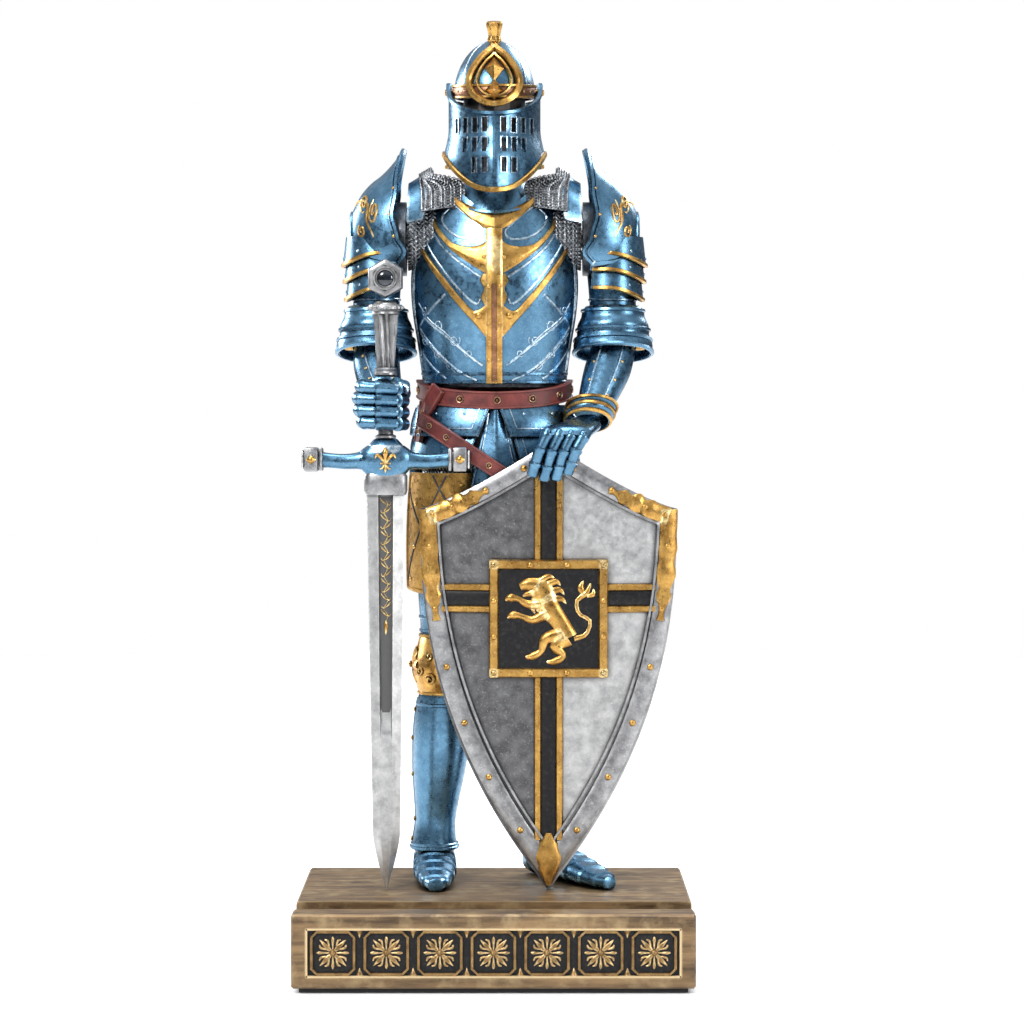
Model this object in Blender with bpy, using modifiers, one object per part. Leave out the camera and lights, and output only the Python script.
"""An armoured knight figure on a phone-stand base, as an assembly of separate pieces.

The knight faces -Y, so the figure's right side is at -X. Every size below is in millimetres and is turned
into metres when a mesh is made. The origin is under the middle of the base.
"""

import math

import bmesh
import bpy
from mathutils import Matrix, Vector

MM = 0.001
GAP = 0.3  # clearance between neighbouring solids

# Base
BASE_WIDTH, BASE_DEPTH, BASE_TOP = 109.4, 84.0, 21.5
PAD_THICK = 1.0
GROOVE_FRONT, GROOVE_BACK, GROOVE_FLOOR = -33.0, -20.0, 16.0
PANEL_HALF, PANEL_LOW, PANEL_HIGH, PANEL_DEPTH = 50.8, 4.3, 17.7, 1.6
TILE_COUNT, TILE_PITCH, TILE_SIDE = 7, 14.4, 12.4

# Figure
BODY_Y = 21.0  # the body's upright axis
SHOULDER_Z, SHOULDER_X = 206.0, 33.4
ELBOW = Vector((34.0, 20.5, 175.5))
HEAD_Y = 18.0
PIVOT_Z = 247.6  # visor pivots at the temples
BELT_Z = 161.0
LAME_COUNT = 3  # bands below each pauldron

# Sword and shield
SWORD_X, SWORD_Y, SWORD_TIP = -30.5, 0.0, BASE_TOP + GAP
FIST_Z = 158.5
GUARD_Z = 143.3
POMMEL_Z = 194.1
SHIELD_X, SHIELD_HALF, SHIELD_FRONT = 15.3, 36.4, -1.3
SHIELD_CORNER, SHIELD_PEAK, SHIELD_THICK = 129.3, 148.0, 3.2

PLAQUE_LOW, PLAQUE_HIGH, PLAQUE_HALF = 81.7, 115.1, 16.6
SHIELD_BOW = 4.0  # how far its sides curve back

LEFT_WRIST = Vector((26.5, 8.0, 153.6))

SIDES = (("right", -1), ("left", 1))


# ---------------------------------------------------------------- scene helpers


def clear_scene():
    for obj in list(bpy.data.objects):
        bpy.data.objects.remove(obj, do_unlink=True)


def new_collection(name):
    collection = bpy.data.collections.new(name)
    bpy.context.scene.collection.children.link(collection)
    return collection


def new_material(name, colour, metallic, roughness):
    material = bpy.data.materials.new(name)
    material.use_nodes = True
    shader = material.node_tree.nodes["Principled BSDF"]
    shader.inputs["Base Color"].default_value = (*colour, 1)
    shader.inputs["Metallic"].default_value = metallic
    shader.inputs["Roughness"].default_value = roughness
    material.diffuse_color = (*colour, 1)
    return material


clear_scene()
PARTS = new_collection("knight_figure")
CUTTERS = new_collection("cutters")

BLUE = new_material("blued_armour", (0.17, 0.28, 0.40), 0.9, 0.35)
DARK = new_material("dark_mail", (0.07, 0.08, 0.09), 0.7, 0.5)
GOLD = new_material("antique_gold", (0.72, 0.47, 0.16), 0.9, 0.35)
STEEL = new_material("brushed_silver", (0.45, 0.45, 0.46), 0.9, 0.4)
BLACK = new_material("black_enamel", (0.02, 0.02, 0.02), 0.1, 0.3)
LEATHER = new_material("red_leather", (0.28, 0.06, 0.05), 0.1, 0.45)
BRONZE = new_material("bronzed_wood", (0.38, 0.25, 0.11), 0.5, 0.5)
FELT = new_material("black_felt", (0.03, 0.03, 0.03), 0.0, 0.95)
FACE = new_material("inner_face", (0.30, 0.26, 0.24), 0.2, 0.6)


def add(name, bm, material, collection=None):
    """A new object from a bmesh that was built in millimetres."""
    bmesh.ops.scale(bm, vec=(MM,) * 3, verts=bm.verts)
    mesh = bpy.data.meshes.new(name)
    bm.to_mesh(mesh)
    bm.free()
    mesh.materials.append(material)
    mesh.shade_smooth()
    mesh.set_sharp_from_angle(angle=math.radians(40))
    obj = bpy.data.objects.new(name, mesh)
    (collection or PARTS).objects.link(obj)
    return obj


def helper(obj):
    """Marks an object as a cutter or a shape to be joined, which isn't a part itself."""
    obj.hide_render = True
    obj.display_type = "WIRE"
    for collection in list(obj.users_collection):
        collection.objects.unlink(obj)
    CUTTERS.objects.link(obj)
    return obj


def boolean(target, other, operation):
    modifier = target.modifiers.new(operation.lower(), "BOOLEAN")
    modifier.operation = operation
    modifier.object = helper(other)
    return target


def cut(target, cutter):
    return boolean(target, cutter, "DIFFERENCE")


def join(target, other):
    return boolean(target, other, "UNION")


def bevelled(obj, width, segments=1):
    modifier = obj.modifiers.new("rounding", "BEVEL")
    modifier.width = width * MM
    modifier.segments = segments
    modifier.limit_method = "ANGLE"
    return obj


# ---------------------------------------------------------------- shape helpers


def box(name, low, high, material=BLACK):
    bm = bmesh.new()
    bmesh.ops.create_cube(bm, size=1)
    size = [h - l for l, h in zip(low, high)]
    bmesh.ops.scale(bm, vec=size, verts=bm.verts)
    middle = [(h + l) / 2 for l, h in zip(low, high)]
    bmesh.ops.translate(bm, vec=middle, verts=bm.verts)
    return add(name, bm, material)


def rod(name, start, end, radius, material=BLACK, end_radius=None, sides=12):
    """A cylinder, or a cone frustum, from one point to another."""
    start, end = Vector(start), Vector(end)
    bm = bmesh.new()
    bmesh.ops.create_cone(
        bm,
        cap_ends=True,
        segments=sides,
        radius1=radius,
        radius2=radius if end_radius is None else end_radius,
        depth=(end - start).length,
    )
    turn = (end - start).to_track_quat("Z", "Y").to_matrix().to_4x4()
    bm.transform(Matrix.Translation((start + end) / 2) @ turn)
    return add(name, bm, material)


def loft(name, sections, material, sides=12, power=1.0):
    """A closed tube through elliptical sections (x, y, z, half width, half depth, pitch).

    Pitch is the way the tube runs at that section: 0 is straight down and 90 is forward.
    A power under 1 squares the section's corners.
    """
    bm = bmesh.new()
    rings = []
    for x, y, z, wide, deep, pitch in sections:
        p = math.radians(pitch)
        across, along = Vector((1, 0, 0)), Vector((0, -math.cos(p), math.sin(p)))
        ring = []
        for i in range(sides):
            a = 2 * math.pi * i / sides
            c = math.copysign(abs(math.cos(a)) ** power, math.cos(a))
            s = math.copysign(abs(math.sin(a)) ** power, math.sin(a))
            ring.append(bm.verts.new(Vector((x, y, z)) + across * wide * c + along * deep * s))
        rings.append(ring)
    for upper, lower in zip(rings, rings[1:]):
        for i in range(sides):
            j = (i + 1) % sides
            bm.faces.new((upper[i], upper[j], lower[j], lower[i]))
    bm.faces.new(rings[0])
    bm.faces.new(rings[-1])
    bmesh.ops.recalc_face_normals(bm, faces=bm.faces)
    return add(name, bm, material)


def shell(name, surface, columns, rows, thick, material, inside, closed=False, pole=False):
    """A plate of even thickness on surface(u, v), with u and v from 0 to 1, grown away from inside.

    A closed plate joins u = 1 to u = 0, and one with a pole has a single point at v = 1.
    """
    bm = bmesh.new()
    count = columns if closed else columns + 1
    grid = []
    for r in range(rows + 1):
        if pole and r == rows:
            grid.append([bm.verts.new(surface(0, 1))] * count)
        else:
            grid.append([bm.verts.new(surface(c / columns, r / rows)) for c in range(count)])
    for r in range(rows):
        for c in range(columns):
            d = (c + 1) % count
            corners = [grid[r][c], grid[r][d], grid[r + 1][d], grid[r + 1][c]]
            bm.faces.new(list(dict.fromkeys(corners)))
    bm.normal_update()
    inside = Vector(inside)
    outward = sum(
        f.normal.dot(f.calc_center_median() - inside) * f.calc_area() for f in bm.faces
    )
    if outward < 0:
        bmesh.ops.reverse_faces(bm, faces=bm.faces)
    obj = add(name, bm, material)
    solidify = obj.modifiers.new("thickness", "SOLIDIFY")
    solidify.thickness = thick * MM
    solidify.offset = 1
    return obj


def turned(name, profile, material, steps=16):
    """A solid turned about its own Z axis from (radius, height) points, listed top to bottom."""
    bm = bmesh.new()
    points = [bm.verts.new((r, 0, z)) for r, z in profile]
    for upper, lower in zip(points, points[1:]):
        bm.edges.new((upper, lower))
    obj = add(name, bm, material)
    screw = obj.modifiers.new("turning", "SCREW")
    screw.steps = screw.render_steps = steps
    screw.use_merge_vertices = True
    screw.merge_threshold = 0.00001
    return obj


def place(obj, location, rotation=(0, 0, 0)):
    obj.location = Vector(location) * MM
    obj.rotation_euler = [math.radians(angle) for angle in rotation]
    return obj


def mix(a, b, t):
    return a + (b - a) * t


def smooth(t):
    t = max(0.0, min(1.0, t))
    return t * t * (3 - 2 * t)


# ---------------------------------------------------------------- base


def build_base():
    half_w, half_d = BASE_WIDTH / 2, BASE_DEPTH / 2
    block = box(
        "base_block", (-half_w, -half_d, PAD_THICK + GAP), (half_w, half_d, BASE_TOP), BRONZE
    )
    bevelled(block, 0.6)
    cut(
        block,
        box(
            "groove_cutter",
            (-half_w - 5, GROOVE_FRONT, GROOVE_FLOOR),
            (half_w + 5, GROOVE_BACK, BASE_TOP + 5),
        ),
    )
    cut(
        block,
        box(
            "panel_cutter",
            (-PANEL_HALF, -half_d - 5, PANEL_LOW),
            (PANEL_HALF, -half_d + PANEL_DEPTH, PANEL_HIGH),
        ),
    )
    box("base_pad", (-half_w + 2, -half_d + 2, 0), (half_w - 2, half_d - 2, PAD_THICK), FELT)
    build_tile_panel(-half_d)


def build_tile_panel(face_y):
    """A backing strip in the recess, with one raised square for each tile."""
    back = face_y + PANEL_DEPTH - GAP
    low, high = PANEL_LOW + GAP, PANEL_HIGH - GAP
    panel = box("tile_panel", (-PANEL_HALF + GAP, back - 0.6, low), (PANEL_HALF - GAP, back, high), BRONZE)
    middle = (low + high) / 2
    for i in range(TILE_COUNT):
        x = (i - (TILE_COUNT - 1) / 2) * TILE_PITCH
        tile = box(
            f"tile_{i}",
            (x - TILE_SIDE / 2, back - 1.1, middle - TILE_SIDE / 2),
            (x + TILE_SIDE / 2, back - 0.3, middle + TILE_SIDE / 2),
        )
        join(panel, tile)


# ---------------------------------------------------------------- legs and hips


def build_legs():
    for side, s in SIDES:
        foot = loft(
            f"foot_{side}",
            [
                (0, 10.5, 4.2, 4.6, 3.9, 90),
                (0, 5, 5.0, 5.4, 4.7, 90),
                (0, -6, 4.4, 5.8, 4.1, 90),
                (0, -16, 3.2, 5.6, 2.9, 90),
                (0, -24, 2.3, 4.2, 2.0, 90),
                (0, -29.5, 1.7, 1.6, 1.4, 90),
            ],
            BLUE,
            sides=10,
            power=0.8,
        )
        place(foot, (s * 17.5, 24, BASE_TOP + GAP), (0, 0, 2 if s < 0 else 32))
        loft(
            f"greave_{side}",
            [
                (s * 14.3, 20.3, 76.3, 7.0, 7.4, 0),
                (s * 15.0, 21.5, 66, 8.2, 8.8, 0),
                (s * 16.0, 22.6, 54, 7.6, 8.2, 0),
                (s * 17.0, 23.2, 40, 5.9, 6.4, 0),
                (s * 17.5, 23.6, 32.6, 6.2, 7.2, 0),
            ],
            BLUE,
        )
        loft(
            f"knee_cop_{side}",
            [
                (s * 13.6, 19.0, 91.2, 7.6, 8.0, 0),
                (s * 13.8, 18.2, 87, 8.6, 9.4, 0),
                (s * 14.1, 17.8, 83, 8.9, 10.0, 0),
                (s * 14.2, 18.4, 79.5, 8.3, 9.0, 0),
                (s * 14.3, 19.6, 76.6, 7.3, 7.8, 0),
            ],
            GOLD,
        )
        loft(
            f"thigh_{side}",
            [
                (s * 10.4, 21.0, 139.0, 8.9, 10.2, 0),
                (s * 10.6, 21.0, 132.0, 9.3, 10.6, 0),
                (s * 11.6, 20.6, 120, 9.6, 10.6, 0),
                (s * 12.6, 20.0, 106, 9.4, 9.8, 0),
                (s * 13.4, 19.4, 91.5, 7.8, 8.3, 0),
            ],
            BLUE,
        )


def hip_half(z):
    """Half width and half depth of the hips' outline at height z."""
    t = (BELT_Z - z) / (BELT_Z - 134)
    return mix(19.4, 21.4, smooth(t)), mix(12.6, 14.0, smooth(t))


def hip_plate(name, z_top, z_low, start, end, offset, material, thick=1.2, flare=1.2):
    """A plate round the hips between two directions, in degrees from straight ahead to +X."""

    def surface(u, v):
        z = mix(z_top, z_low, v)
        wide, deep = hip_half(z)
        grow = offset + flare * v
        a = math.radians(mix(start, end, u))
        return Vector(
            (math.sin(a) * (wide + grow), BODY_Y - math.cos(a) * (deep + grow), z)
        )

    return shell(name, surface, 8, 3, thick, material, (0, BODY_Y, (z_top + z_low) / 2))


def build_hips():
    loft(
        "hip_core",
        [
            (0, BODY_Y, 162.4, 18.2, 11.6, 0),
            (0, BODY_Y, 152, 19.2, 12.2, 0),
            (0, BODY_Y, 144, 19.6, 12.4, 0),
            (0, BODY_Y, 139.3, 19.4, 12.4, 0),
        ],
        DARK,
        sides=16,
    )
    hip_plate("loin_guard", 157.0, 134.5, -13, 17, 0.0, BLUE)
    for side, s in SIDES:
        inner, outer = (16, 86) if s < 0 else (20, 86)
        hip_plate(f"fauld_{side}_upper", 157.0, 149.2, s * inner, s * outer, 0.2, BLUE)
        hip_plate(f"fauld_{side}_lower", 148.6, 139.6, s * (inner + 7), s * outer, 0.5, BLUE)
    hip_plate("culet", 157.0, 138.0, 92, 268, 0.2, BLUE)
    for side, s in SIDES:

        def surface(u, v, s=s):
            z = mix(139.0, 106.6, v)
            a = math.radians(mix(-48, 74, u)) * s
            reach = mix(11.4, 10.9, v)
            x_mid = s * mix(11.4, 12.8, v)
            return Vector((x_mid + math.sin(a) * reach, 20.4 - math.cos(a) * (reach + 0.4), z))

        shell(f"tasset_{side}", surface, 8, 4, 1.2, GOLD, (s * 12, 20.4, 122))
    build_belts()


def belt_height(angle):
    """The belt dips a little at the front."""
    return BELT_Z + 1.6 - 2.4 * max(0.0, math.cos(angle))


def build_belts():
    def belt_surface(u, v):
        a = 2 * math.pi * u
        z = belt_height(a) + mix(2.3, -2.3, v)
        return Vector((math.sin(a) * 21.1, BODY_Y - math.cos(a) * 14.6, z))

    shell("belt", belt_surface, 24, 1, 1.3, LEATHER, (0, BODY_Y, BELT_Z), closed=True)

    def hanger_surface(u, v):
        """A strap that slants from the right hip to the left thigh, in front of the hip plates."""
        x, z = mix(-20.0, 6.5, u), mix(153.8, 136.6, u)
        wide, deep = hip_half(z)
        y = BODY_Y - (deep + 2.9) * math.sqrt(1 - (x / (wide + 5.2)) ** 2)
        return Vector((x + mix(1.4, -1.4, v), y, z + mix(2.2, -2.2, v)))

    shell("hanger_strap", hanger_surface, 8, 1, 1.0, LEATHER, (0, BODY_Y, 145))


# ---------------------------------------------------------------- torso


TORSO = (
    # height, half width, half depth of the body under the plates
    (163.6, 18.9, 12.4),
    (175.0, 20.2, 13.6),
    (189.0, 21.6, 15.2),
    (201.0, 21.6, 14.6),
    (209.0, 19.6, 12.4),
    (214.0, 15.0, 10.4),
)


def torso_half(z):
    """Half width and half depth of the torso under its plates, at height z."""
    for (z0, w0, d0), (z1, w1, d1) in zip(TORSO, TORSO[1:]):
        if z <= z1:
            t = max(0.0, (z - z0) / (z1 - z0))
            return mix(w0, w1, t), mix(d0, d1, t)
    return TORSO[-1][1:]


def plate_surface(front, grow):
    """The breastplate's or the backplate's surface, with a curved armhole at each side."""

    def surface(u, v):
        z = mix(164.2, 212.2, v)
        half_angle = mix(87, 44, smooth((z - 188) / 22))
        a = math.radians(mix(-half_angle, half_angle, u))
        wide, deep = torso_half(z)
        swell = 1.6 * math.cos(a) ** 2 * smooth(v * 1.6) * (1 - 0.4 * smooth(v * 2 - 1)) if front else 0
        y = math.cos(a) * (deep + grow + swell)
        return Vector((math.sin(a) * (wide + grow), BODY_Y + (-y if front else y), z))

    return surface


def build_torso():
    core = loft(
        "torso_core",
        [(0, BODY_Y, z, w - 0.6, d - 0.6, 0) for z, w, d in reversed(TORSO)],
        DARK,
        sides=16,
    )
    cut(core, rod("axle_cutter", (-40, BODY_Y, SHOULDER_Z), (40, BODY_Y, SHOULDER_Z), 2.9))
    join(core, rod("neck_peg", (0, HEAD_Y + 1, 210), (0, HEAD_Y + 1, 229.5), 2.5))
    rod("shoulder_axle", (-31, BODY_Y, SHOULDER_Z), (31, BODY_Y, SHOULDER_Z), 2.6, STEEL)

    inside = (0, BODY_Y, 190)
    shell("breastplate", plate_surface(True, GAP), 14, 8, 1.2, BLUE, inside)
    shell("backplate", plate_surface(False, GAP), 14, 8, 1.2, BLUE, inside)

    front = plate_surface(True, 2 * GAP + 1.2)

    def trim_surface(u, v):
        """A strip down the middle that widens into a chevron over the chest."""
        wide = mix(0.035, 0.25, smooth((v - 0.42) / 0.4)) * mix(1.0, 0.5, smooth((v - 0.85) / 0.15))
        return front(0.5 + (u - 0.5) * 2 * wide, mix(0.04, 0.985, v))

    shell("breast_trim", trim_surface, 6, 12, 0.7, GOLD, inside)

    def gorget_surface(u, v):
        a = 2 * math.pi * u
        wide, deep, z = mix(12.4, 8.2, v), mix(10.9, 8.2, v), mix(214.6, 221.2, smooth(v))
        return Vector((math.sin(a) * wide, HEAD_Y + 1.5 - math.cos(a) * deep, z))

    shell("gorget", gorget_surface, 16, 3, 1.0, BLUE, (0, HEAD_Y, 205), closed=True)

    def collar_surface(u, v):
        """The mail mantle: a sloping ring on the shoulders, cut away over the chest."""
        a = math.radians(mix(42, 318, u))
        wide, deep = mix(14.4, 21.2, v), mix(12.6, 14.6, v)
        drop = mix(220.4, 214.8, v)
        return Vector((math.sin(a) * wide, BODY_Y - math.cos(a) * deep, drop))

    shell("mail_collar", collar_surface, 18, 2, 1.2, DARK, (0, BODY_Y, 195))

    for side, s in SIDES:
        strap_surface = shoulder_strap(s)
        shell(f"shoulder_plate_{side}", strap_surface, 8, 2, 1.0, BLUE, (s * 20.5, BODY_Y, 205))


def shoulder_strap(s):
    """A plate that lies over the shoulder from the chest to the back, standing up at its outer edge."""

    def surface(u, v):
        a = math.radians(mix(-62, 62, u))
        x = s * mix(19.0, 22.0, v)
        reach = mix(12.0, 13.6, v)
        return Vector((x, BODY_Y + math.sin(a) * 15.2, 207.4 + math.cos(a) * reach))

    return surface


# ---------------------------------------------------------------- head


def visor_half(z):
    """Half width, depth in front of the pivots and height of the middle crease at height z."""
    bell = smooth((237 - z) / 10)
    return 12.3 + 1.6 * bell, 16.5 + 1.8 * bell, mix(0.3, 1.9, smooth((243 - z) / 20))


def visor_surface(u, v):
    a = math.radians(mix(-99, 99, u))
    across = math.sin(a)
    top = PIVOT_Z + 2.7 - 9.7 * max(0.0, math.cos(a)) ** 0.7
    low = 218.0 + 11.6 * abs(across) ** 2.4
    z = mix(top, low, v)
    wide, deep, crease = visor_half(z)
    keel = crease * max(0.0, 1 - abs(across) * 2.2)
    return Vector((across * wide, HEAD_Y - math.cos(a) * deep - keel, z))


SLOT_ROWS = (
    # height of the row's middle, and where its slots are on each side of the crease
    (236.6, (2.4, 5.2, 7.8, 10.1)),
    (231.5, (2.4, 5.4, 8.1)),
    (226.0, (2.4, 5.6)),
)
SLOT_WIDTH, SLOT_HEIGHT = 1.5, 4.2


def visor_cutter():
    """One mesh with a box for each breathing slot of the visor, and a rod for its pivot holes."""
    bm = bmesh.new()
    sideways = Matrix.Translation((0, HEAD_Y, PIVOT_Z)) @ Matrix.Rotation(math.pi / 2, 4, "Y")
    bmesh.ops.create_cone(
        bm, cap_ends=True, segments=10, radius1=1.3, radius2=1.3, depth=40, matrix=sideways
    )
    for z, places in SLOT_ROWS:
        wide, deep, _ = visor_half(z)
        for x in places + tuple(-x for x in places):
            a = math.asin(x / wide)
            made = bmesh.ops.create_cube(bm, size=1)["verts"]
            bmesh.ops.scale(bm, vec=(SLOT_WIDTH, 6, SLOT_HEIGHT), verts=made)
            facing = math.atan2(math.sin(a) / wide, math.cos(a) / deep)
            centre = Vector((x, HEAD_Y - math.cos(a) * deep, z))
            turn = Matrix.Translation(centre) @ Matrix.Rotation(facing, 4, "Z")
            bmesh.ops.transform(bm, matrix=turn, verts=made)
    return add("visor_cutter", bm, BLACK)


def dome_point(a, e, grow=0.0):
    """A point on the helmet's skull, at azimuth a from straight ahead and elevation e, in radians."""
    return Vector(
        (
            math.sin(a) * math.cos(e) * (10.8 + grow),
            HEAD_Y - math.cos(a) * math.cos(e) * (14.2 + grow),
            PIVOT_Z - 1.6 + math.sin(e) * (15.4 + grow),
        )
    )


def build_head():
    core = loft(
        "head_core",
        [
            (0, 18.6, 258.0, 3.0, 4.0, 0),
            (0, 18.6, 254.5, 7.0, 9.6, 0),
            (0, 18.4, 248, 8.8, 11.8, 0),
            (0, 18.0, 241, 8.8, 12.0, 0),
            (0, 17.6, 234, 7.8, 11.2, 0),
            (0, 17.4, 229.5, 5.6, 8.4, 0),
            (0, 18.6, 226.0, 5.6, 6.2, 0),
            (0, 19.0, 221.9, 5.8, 6.0, 0),
        ],
        FACE,
    )
    cut(core, rod("socket_cutter", (0, HEAD_Y + 1, 215), (0, HEAD_Y + 1, 231), 2.8))

    pin_hole = rod("pivot_cutter", (-20, HEAD_Y, PIVOT_Z), (20, HEAD_Y, PIVOT_Z), 1.3, sides=10)

    def skull_surface(u, v):
        return dome_point(2 * math.pi * u, math.radians(mix(0, 90, v)))

    skull = shell(
        "helmet_skull", skull_surface, 20, 6, 0.9, BLUE, (0, HEAD_Y, 246), closed=True, pole=True
    )
    cut(skull, pin_hole)

    def nape_surface(u, v):
        a = math.radians(mix(107, 253, u))
        bell = smooth(v * 1.2 - 0.2)
        wide, deep = 10.9 + 2.6 * bell, 14.2 + 3.0 * bell
        z = mix(PIVOT_Z - 2.2, 226.5, v)
        return Vector((math.sin(a) * wide, HEAD_Y - math.cos(a) * deep, z))

    shell("helmet_nape", nape_surface, 12, 4, 0.9, BLUE, (0, HEAD_Y, 238))

    def crest_surface(u, v):
        e = math.radians(mix(62, 128, u))
        flare = mix(1.5, 2.3, v * v)
        return dome_point(0, e, 1.3 + 3.7 * v * math.sin(math.pi * mix(0.14, 0.86, u)) ** 0.5) + Vector(
            (-flare, 0, 0)
        )

    crest = shell("crest", crest_surface, 8, 2, 1.0, GOLD, (20, HEAD_Y, 262))
    solidify = crest.modifiers["thickness"]
    solidify.thickness = 3.6 * MM
    solidify.offset = -1
    build_brow_ornament()
    for side, s in SIDES:
        pin = turned(
            f"visor_pivot_{side}",
            [(0, 14.3), (1.0, 14.2), (1.7, 13.5), (1.0, 13.45), (1.0, 9.6), (0, 9.6)],
            GOLD,
            steps=12,
        )
        place(pin, (0, HEAD_Y, PIVOT_Z), (0, s * 90, 0))

    visor = shell("visor", visor_surface, 20, 7, 0.8, BLUE, (0, HEAD_Y, 236))
    cut(visor, visor_cutter())


def build_brow_ornament():
    """A pointed loop of round bar on the front of the skull."""
    points = []
    count = 28
    for i in range(count):
        t = 2 * math.pi * i / count
        lift = 0.5 + 0.5 * math.cos(t)
        a = math.sin(t) * mix(0.62, 0.34, lift)
        points.append(dome_point(a, math.radians(mix(-3, 46, lift)), 0.9 + GAP + 0.75))
    curve = bpy.data.curves.new("brow_ornament", "CURVE")
    curve.dimensions = "3D"
    curve.bevel_depth = 0.7 * MM
    curve.bevel_resolution = 1
    spline = curve.splines.new("POLY")
    spline.points.add(count - 1)
    for point, place_at in zip(spline.points, points):
        point.co = (*(place_at * MM), 1)
    spline.use_cyclic_u = True
    curve.materials.append(GOLD)
    PARTS.objects.link(bpy.data.objects.new("brow_ornament", curve))


# ---------------------------------------------------------------- arms


def build_upper_arm(side, s):
    arm = loft(
        f"upper_arm_{side}",
        [
            (s * 32.6, BODY_Y, 214.5, 4.6, 5.0, 0),
            (s * 32.8, BODY_Y, 210, 6.8, 7.0, 0),
            (s * 33.2, BODY_Y, 200, 7.0, 7.2, 0),
            (s * 33.8, BODY_Y - 0.3, 190, 6.6, 6.8, 0),
            (s * ELBOW.x, ELBOW.y, 182.6, 6.2, 6.4, 0),
        ],
        BLUE,
    )
    x, y, z = s * ELBOW.x, ELBOW.y, ELBOW.z
    join(arm, box(f"tongue_{side}", (x - 2.2, y - 3.4, z), (x + 2.2, y + 3.4, 186)))
    join(arm, rod(f"knuckle_{side}", (x - 2.2, y, z), (x + 2.2, y, z), 3.6))
    cut(arm, rod(f"elbow_bore_{side}", (x - 9, y, z), (x + 9, y, z), 1.5))
    cut(
        arm,
        rod(f"arm_bore_{side}", (s * 20, BODY_Y, SHOULDER_Z), (s * 31.6, BODY_Y, SHOULDER_Z), 2.9),
    )

    def pauldron_surface(u, v):
        """A cap round the shoulder's cross axis, with a flange that stands up beside the neck."""
        turn = math.radians(mix(-98, 98, u))
        x = mix(25.0, 40.4, v)
        dome = 14.6 * math.sqrt(max(0.0, 1 - ((x - 26) / 15.4) ** 2)) if x > 26 else 14.6
        rise = 11.6 * smooth((31.0 - x) / 5.5) * max(0.0, math.cos(turn)) ** 3
        reach = max(dome, 4.0) + rise
        return Vector((s * x, BODY_Y + math.sin(turn) * reach * 0.86, SHOULDER_Z - 1 + math.cos(turn) * reach))

    shell(
        f"pauldron_{side}", pauldron_surface, 14, 8, 1.1, BLUE, (s * 33, BODY_Y, SHOULDER_Z - 2)
    )
    def lame_surface(u, v):
        """Three overlapping bands round the upper arm, each a little proud of the next."""
        a = math.radians(mix(-128, 128, u))
        band = v * LAME_COUNT % 1 if v < 1 else 1
        point = 2.6 * math.sin(a * 0.75) ** 2
        r = 8.0 + 0.8 * band
        z = mix(203.2, 188.0, v) + point * (v - 0.4)
        return Vector((s * (33.1 + math.cos(a) * r), BODY_Y - math.sin(a) * (r + 0.6), z))

    shell(f"shoulder_lames_{side}", lame_surface, 12, 9, 1.0, BLUE, (s * 33.1, BODY_Y, 196))

    def couter_surface(u, v):
        """A flared bell round the elbow that opens towards the forearm."""
        a = 2 * math.pi * u
        r = mix(7.2, 9.4, v**0.7)
        lean = math.radians(mix(4, 28, v))
        along = mix(-9.0, 3.4, v)
        across, forward = math.cos(a) * r, math.sin(a) * r
        return Vector(
            (
                s * ELBOW.x + across,
                ELBOW.y - forward * math.cos(lean) - max(0.0, along) * math.sin(lean),
                ELBOW.z - along * math.cos(lean) + forward * math.sin(lean),
            )
        )

    shell(f"couter_{side}", couter_surface, 16, 3, 1.0, BLUE, (x, y, z), closed=True)


def build_forearm(side, s):
    x, y, z = s * ELBOW.x, ELBOW.y, ELBOW.z
    if s < 0:
        sections = [
            (x, 22.4, 178.4, 4.6, 4.2, 20),
            (x, y, z, 6.2, 5.8, 30),
            (-33.4, 16.5, 168.5, 6.2, 6.2, 40),
            (-32.0, 11.5, 162.6, 5.6, 5.6, 62),
            (-31.0, 6.8, 159.6, 5.0, 5.0, 90),
        ]
    else:
        sections = [
            (x, 22.2, 178.2, 4.6, 4.2, 15),
            (x, y, z, 6.2, 5.8, 22),
            (32.0, 17.0, 167.5, 6.6, 6.2, 30),
            (29.2, 12.0, 159.5, 5.4, 5.2, 32),
            (27.6, 9.6, 156.2, 4.8, 4.4, 36),
        ]
    forearm = loft(f"vambrace_{side}", sections, BLUE)
    cut(forearm, rod(f"fork_cutter_{side}", (x - 2.5, y, z), (x + 2.5, y, z), 4.2, sides=16))
    cut(
        forearm,
        box(f"fork_mouth_{side}", (x - 2.5, y - 9, z), (x + 2.5, y + 4.2, z + 9)),
    )
    cut(forearm, rod(f"ear_bore_{side}", (x - 9, y, z), (x + 9, y, z), 1.5))
    rod(f"elbow_pin_{side}", (x - 5.6, y, z), (x + 5.6, y, z), 1.2, STEEL)
    return forearm


def build_right_hand():
    forearm = build_forearm("right", -1)
    peg_at = (SWORD_X, FIST_Z)
    join(forearm, rod("wrist_peg", (peg_at[0], 10, peg_at[1]), (peg_at[0], 4.6, peg_at[1]), 1.4))
    fist = loft(
        "fist_right",
        [
            (SWORD_X - 1.2, 0.4, 166.0, 4.8, 4.4, 0),
            (SWORD_X - 1.2, 0.2, 164.0, 6.6, 5.9, 0),
            (SWORD_X - 1.4, 0.2, 158.5, 7.0, 6.1, 0),
            (SWORD_X - 1.0, 0.2, 153.4, 6.2, 5.7, 0),
            (SWORD_X - 0.6, 0.2, 151.4, 4.8, 4.6, 0),
        ],
        BLUE,
        power=0.7,
    )
    cut(fist, rod("grip_bore", (SWORD_X, SWORD_Y, 140), (SWORD_X, SWORD_Y, 175), 2.6))
    cut(fist, rod("wrist_bore", (peg_at[0], 4.2, peg_at[1]), (peg_at[0], 12, peg_at[1]), 1.7))


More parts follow.
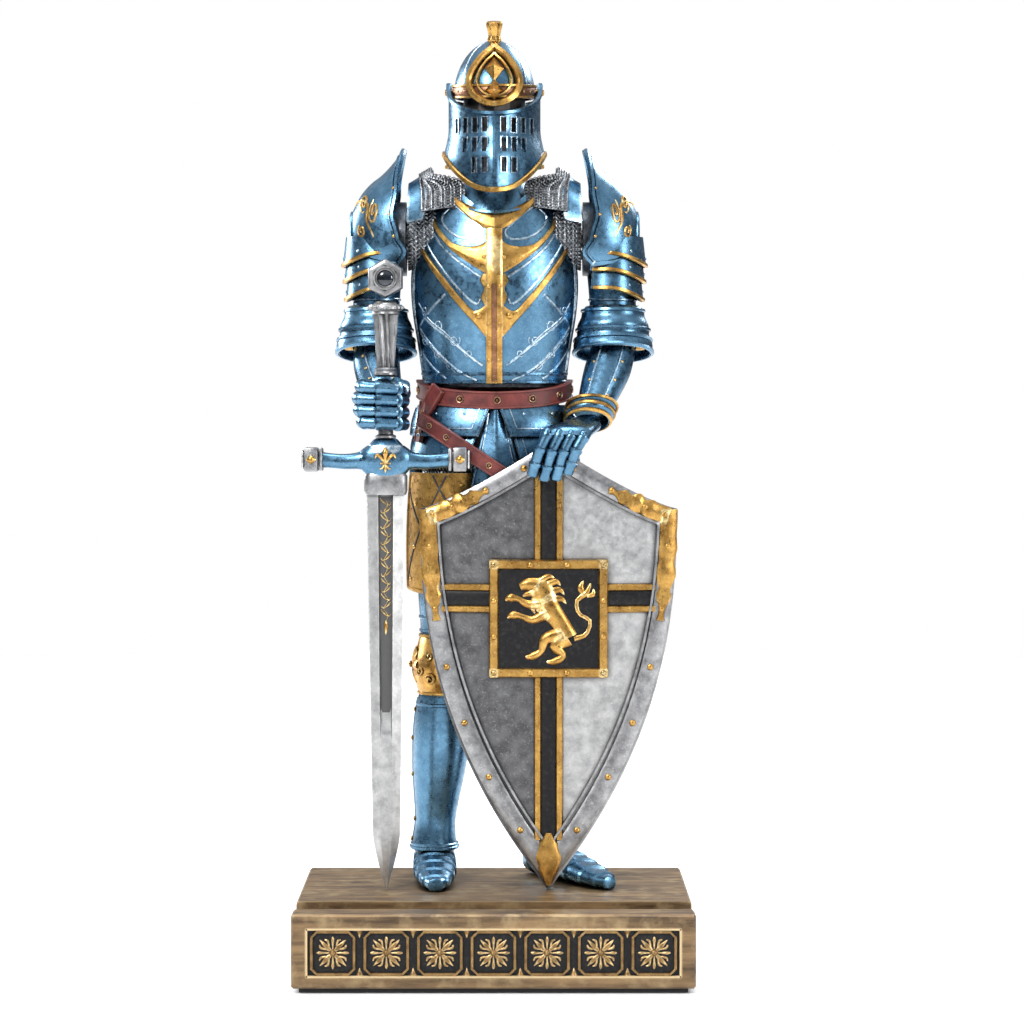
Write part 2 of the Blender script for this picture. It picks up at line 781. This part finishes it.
def build_left_hand():
    build_forearm("left", 1)

    def cuff_surface(u, v):
        a = 2 * math.pi * u
        r = mix(5.9, 6.7, v)
        centre = LEFT_WRIST + Vector((0.9, 1.8, 3.6)) * (1 - v) + Vector((-0.1, 0.2, 0.2)) * v
        return centre + Vector((math.cos(a) * r, -math.sin(a) * r * 0.85, math.sin(a) * r * 0.5))

    shell("gauntlet_cuff_left", cuff_surface, 12, 1, 0.8, BLUE, LEFT_WRIST, closed=True)
    x, y, z = LEFT_WRIST
    loft(
        "hand_left",
        [
            (x, y + 0.2, z + 0.2, 3.4, 2.8, 40),
            (x - 0.8, y - 2.0, z - 0.8, 4.2, 2.8, 55),
            (22.6, 1.4, 151.6, 5.6, 2.3, 72),
            (19.8, -3.4, 150.0, 6.6, 2.4, 50),
            (18.0, -5.2, 146.2, 6.4, 2.1, 12),
            (16.4, -5.0, 140.4, 5.4, 1.8, 4),
            (15.6, -4.6, 137.2, 4.4, 1.4, 0),
        ],
        BLUE,
    )


# ---------------------------------------------------------------- sword and shield


def build_sword():
    x, y = SWORD_X, SWORD_Y
    pommel = rod(
        "sword_pommel", (x, y - 3.4, POMMEL_Z), (x, y + 3.4, POMMEL_Z), 5.9, STEEL, sides=6
    )
    bevelled(pommel, 0.7)
    place(
        turned(
            "sword_grip",
            [
                (0, 187.8),
                (3.2, 187.7),
                (5.2, 187.0),
                (5.2, 185.4),
                (3.7, 184.4),
                (3.6, 182.6),
                (2.5, 168.8),
                (3.1, 168.2),
                (3.1, 166.9),
                (2.2, 166.4),
                (2.2, 149.6),
                (0, 149.6),
            ],
            STEEL,
            steps=12,
        ),
        (x, y, 0),
    )
    guard = loft(
        "sword_guard",
        [
            (0, 0, 24.0, 2.2, 2.0, 0),
            (0, 0, 18.2, 3.6, 3.0, 0),
            (0, 0, 17.4, 1.9, 1.9, 0),
            (0, 0, 8.5, 2.3, 2.2, 0),
            (0, 0, 0, 4.6, 3.3, 0),
            (0, 0, -8.5, 2.3, 2.2, 0),
            (0, 0, -17.4, 1.9, 1.9, 0),
            (0, 0, -18.2, 3.6, 3.0, 0),
            (0, 0, -24.0, 2.2, 2.0, 0),
        ],
        STEEL,
        sides=8,
    )
    place(guard, (x, y, GUARD_Z), (0, 90, 0))
    join(guard, box("rain_guard", (x - 6.4, y - 3.0, 133.2), (x + 6.4, y + 3.0, 142)))
    dome = rod("guard_dome", (x, y, 144), (x, y, 149.3), 4.6, end_radius=2.6)
    join(guard, dome)
    loft(
        "sword_blade",
        [
            (x, y, 132.9, 5.7, 1.9, 0),
            (x, y, 88, 4.8, 1.7, 0),
            (x, y, 36, 4.0, 1.4, 0),
            (x, y, SWORD_TIP, 0.9, 0.7, 0),
        ],
        STEEL,
        sides=8,
    )


def shield_half(z):
    """Half width of the shield below its corners, which runs in to a point at the foot."""
    t = (SHIELD_CORNER - z) / (SHIELD_CORNER - BASE_TOP - GAP)
    return SHIELD_HALF * (1 - min(1.0, t) ** 2.4)


def shield_surface(bow):
    """The shield's back surface: u runs across, v from the foot to the two hollow top edges."""

    def surface(u, v):
        across = 2 * u - 1
        top = SHIELD_CORNER + (SHIELD_PEAK - SHIELD_CORNER) * (1 - abs(across)) ** 1.25
        low = BASE_TOP + GAP
        z = mix(low, top, v)
        half = max(0.8, shield_half(min(z, SHIELD_CORNER)))
        y = SHIELD_FRONT + SHIELD_THICK + bow * (across * half / SHIELD_HALF) ** 2
        return Vector((SHIELD_X + across * half, y, z))

    return surface


def build_shield():
    shell(
        "shield_board",
        shield_surface(SHIELD_BOW),
        12,
        12,
        SHIELD_THICK - 0.9,
        STEEL,
        (SHIELD_X, 60, 95),
    )
    front = SHIELD_FRONT + 0.9 - GAP

    def plaque_surface(u, v):
        across = mix(-PLAQUE_HALF, PLAQUE_HALF, u)
        bow = SHIELD_BOW * (across / SHIELD_HALF) ** 2
        return Vector((SHIELD_X + across, front + bow, mix(PLAQUE_LOW, PLAQUE_HIGH, v)))

    shell("shield_plaque", plaque_surface, 6, 1, 1.2, GOLD, (SHIELD_X, 60, 95))


# ---------------------------------------------------------------- joints


HEAD_PIECES = (
    "head_core",
    "helmet_skull",
    "helmet_nape",
    "crest",
    "brow_ornament",
    "visor_pivot_right",
    "visor_pivot_left",
)
ARM_PIECES = ("upper_arm", "pauldron", "shoulder_lames", "couter", "elbow_pin")
SWORD_PIECES = ("sword_blade", "sword_grip", "sword_guard", "sword_pommel")

JOINTS = (
    # joint, its place, the joint that carries it, and the pieces that turn with it
    ("head_turn", (0, 19, 226), None, HEAD_PIECES),
    ("visor_lift", (0, HEAD_Y, PIVOT_Z), "head_turn", ("visor",)),
    (
        "shoulder_right_swing",
        (-SHOULDER_X, BODY_Y, SHOULDER_Z),
        None,
        [f"{piece}_right" for piece in ARM_PIECES],
    ),
    (
        "elbow_right_bend",
        (-ELBOW.x, ELBOW.y, ELBOW.z),
        "shoulder_right_swing",
        ("vambrace_right",),
    ),
    (
        "wrist_right_swivel",
        (SWORD_X, 5, FIST_Z),
        "elbow_right_bend",
        ("fist_right", *SWORD_PIECES),
    ),
    (
        "shoulder_left_swing",
        (SHOULDER_X, BODY_Y, SHOULDER_Z),
        None,
        [f"{piece}_left" for piece in ARM_PIECES],
    ),
    (
        "elbow_left_bend",
        tuple(ELBOW),
        "shoulder_left_swing",
        ("vambrace_left", "gauntlet_cuff_left"),
    ),
    ("wrist_left_bend", tuple(LEFT_WRIST), "elbow_left_bend", ("hand_left",)),
)


def hang(child, joint):
    """Parents an object to a joint's empty without moving it."""
    child.parent = joint
    child.matrix_parent_inverse = joint.matrix_world.inverted()


def build_joints():
    """Puts an empty on each joint's axis, and hangs what turns there on it."""
    empties = {}
    for name, where, _, _ in JOINTS:
        empty = bpy.data.objects.new(name, None)
        empty.location = Vector(where) * MM
        empty.empty_display_size = 5 * MM
        PARTS.objects.link(empty)
        empties[name] = empty
    bpy.context.view_layer.update()
    for name, _, carrier, pieces in JOINTS:
        if carrier:
            hang(empties[name], empties[carrier])
        for piece in pieces:
            hang(PARTS.objects[piece], empties[name])


build_base()
build_legs()
build_hips()
build_torso()
build_head()
for arm_side, sign in SIDES:
    build_upper_arm(arm_side, sign)
build_right_hand()
build_left_hand()
build_sword()
build_shield()
build_joints()
